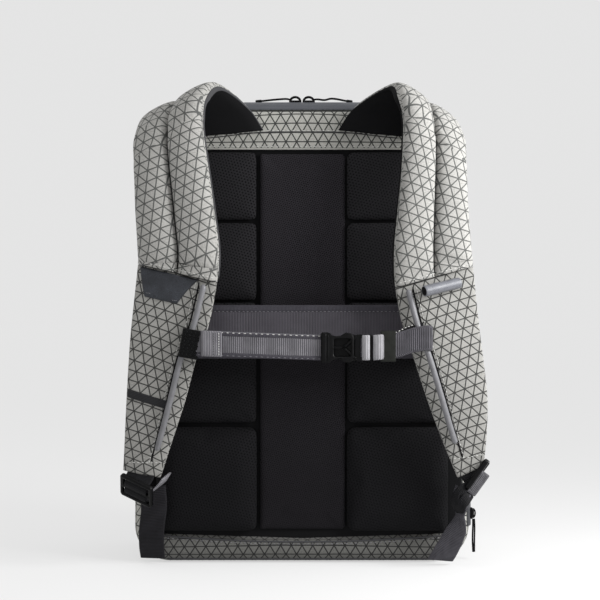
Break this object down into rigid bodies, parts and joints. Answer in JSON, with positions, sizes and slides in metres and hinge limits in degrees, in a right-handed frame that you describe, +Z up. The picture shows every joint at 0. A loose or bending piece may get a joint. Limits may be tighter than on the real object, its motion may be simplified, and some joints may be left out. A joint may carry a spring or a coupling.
{
  "type": "laptop backpack",
  "caption": "Upright laptop backpack seen from its harness: padded back, curved shoulder straps, chest strap with buckle, luggage band and a zip over the top",
  "frame": {"origin": "middle of the footprint's bounding box, on the floor that the bag stands on", "axes": "+Z up along the height, harness and straps towards -Y, front of the bag towards +Y, +X to the right as the harness is seen"},
  "size_m": [0.349, 0.2426, 0.4513],
  "materials": {
    "fabric": "pale grey woven cloth printed with a fine dark triangle lattice",
    "mesh": "black spacer mesh over foam",
    "lining": "black plain woven lining",
    "webbing": "dark grey ribbed webbing with a soft sheen",
    "webbing_pale": "pale grey folded webbing with stitching",
    "plastic": "black moulded acetal, satin",
    "leather": "dark slate smooth leather",
    "cord": "grey reflective piping",
    "zip_tape": "dark blue grey coated zip tape"
  },
  "bodies": {
    "root": {"body_shell": "fabric", "back_panel": "lining", "pad_upper_left": "mesh", "pad_middle_left": "mesh", "pad_lumbar_left": "mesh", "pad_lower_left": "mesh", "pad_upper_right": "mesh", "pad_middle_right": "mesh", "pad_lumbar_right": "mesh", "pad_lower_right": "mesh", "channel_pad": "mesh", "top_strip": "fabric", "bottom_strip": "fabric", "zip_tape_top": "zip_tape", "zip_slider_left": "plastic", "zip_pull_left": "plastic", "zip_slider_right": "plastic", "zip_pull_right": "plastic", "side_zip_tape": "zip_tape", "side_zip_slider": "plastic", "side_zip_pull": "plastic", "strap_upper_left": "fabric", "strap_lining_left": "lining", "strap_lower_left": "fabric", "rail_left": "cord", "strap_upper_right": "fabric", "strap_lining_right": "lining", "strap_lower_right": "fabric", "rail_right": "cord", "leather_patch": "leather", "leather_roll": "leather", "elastic_band": "webbing", "luggage_band": "webbing", "chest_clip": "plastic", "chest_web_left": "webbing", "chest_tail": "webbing_pale", "buckle_female": "plastic", "buckle_male": "plastic", "chest_loop": "webbing", "chest_fold": "webbing_pale", "chest_keeper": "plastic", "adjuster_left": "plastic", "web_lower_left": "webbing", "web_tail_left": "webbing_pale", "adjuster_right": "plastic", "web_lower_right": "webbing", "web_tail_right": "webbing_pale"}
  },
  "joints": []
}
